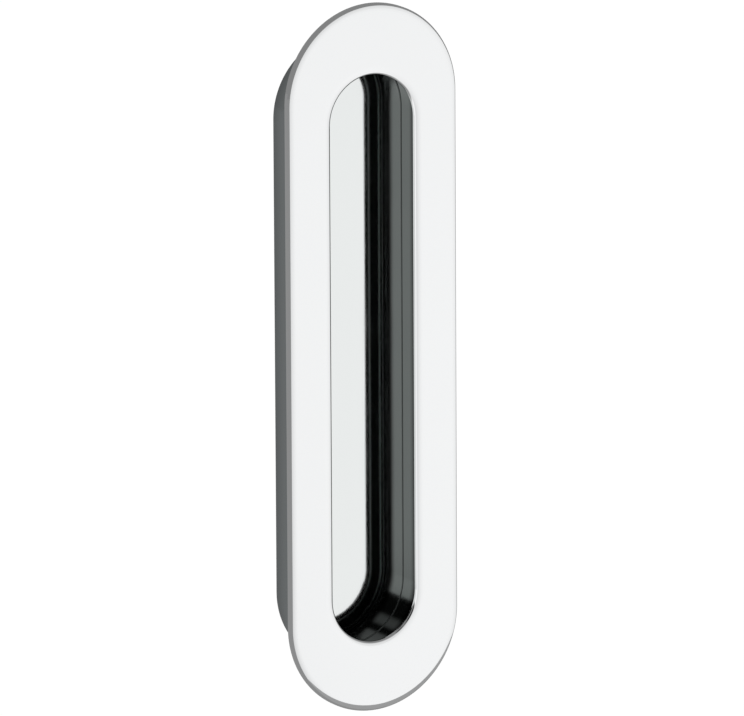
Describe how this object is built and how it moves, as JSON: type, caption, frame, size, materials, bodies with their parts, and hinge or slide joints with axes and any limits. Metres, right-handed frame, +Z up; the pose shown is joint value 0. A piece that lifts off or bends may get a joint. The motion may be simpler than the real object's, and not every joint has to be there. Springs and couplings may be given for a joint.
{
  "type": "pocket door pull",
  "caption": "Upright obround flush pull: a thin plate whose opening has an undercut lip, over a deep cup that sinks into a door mortise.",
  "frame": {"origin": "centre of the face plate's back, on the plane of the door's face and on the mortise's axis", "axes": "+Z up along the pull, +Y into the door, -Y out of the door towards the hand, +X to the right seen from the hand"},
  "size_m": [0.04, 0.0132, 0.15],
  "materials": {
    "face_plate": "polished",
    "cup": "polished"
  },
  "bodies": {
    "root": {"face_plate": "face_plate", "cup": "cup"}
  },
  "joints": []
}
